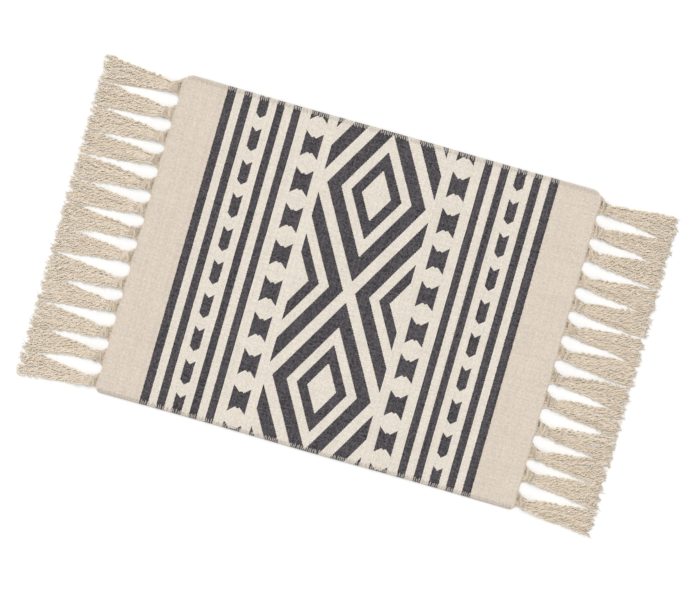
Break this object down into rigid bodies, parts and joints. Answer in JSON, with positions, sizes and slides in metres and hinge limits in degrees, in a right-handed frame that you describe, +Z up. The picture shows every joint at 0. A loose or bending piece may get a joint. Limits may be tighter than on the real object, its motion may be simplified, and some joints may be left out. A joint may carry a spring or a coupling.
{
  "type": "fabric placemat",
  "caption": "Flat rectangular woven cotton placemat with a printed striped and lozenge pattern, hemmed long edges, and knotted yarn tassels along both short ends.",
  "frame": {"origin": "under the middle of the mat, on the surface that it lies on", "axes": "+X along the mat's long side, from one fringe to the other; +Y across it; +Z up, out of the printed face"},
  "size_m": [0.603, 0.3334, 0.0048],
  "materials": {
    "printed_cotton": "matt plain-woven natural cotton with a charcoal print of stripes, beads and lozenges",
    "cotton_yarn": "matt undyed cotton yarn, loosely twisted"
  },
  "bodies": {
    "root": {"cloth": "printed_cotton", "tassel_left_01": "cotton_yarn", "tassel_left_02": "cotton_yarn", "tassel_left_03": "cotton_yarn", "tassel_left_04": "cotton_yarn", "tassel_left_05": "cotton_yarn", "tassel_left_06": "cotton_yarn", "tassel_left_07": "cotton_yarn", "tassel_left_08": "cotton_yarn", "tassel_left_09": "cotton_yarn", "tassel_left_10": "cotton_yarn", "tassel_left_11": "cotton_yarn", "tassel_left_12": "cotton_yarn", "tassel_left_13": "cotton_yarn", "tassel_right_01": "cotton_yarn", "tassel_right_02": "cotton_yarn", "tassel_right_03": "cotton_yarn", "tassel_right_04": "cotton_yarn", "tassel_right_05": "cotton_yarn", "tassel_right_06": "cotton_yarn", "tassel_right_07": "cotton_yarn", "tassel_right_08": "cotton_yarn", "tassel_right_09": "cotton_yarn", "tassel_right_10": "cotton_yarn", "tassel_right_11": "cotton_yarn", "tassel_right_12": "cotton_yarn", "tassel_right_13": "cotton_yarn"}
  },
  "joints": []
}
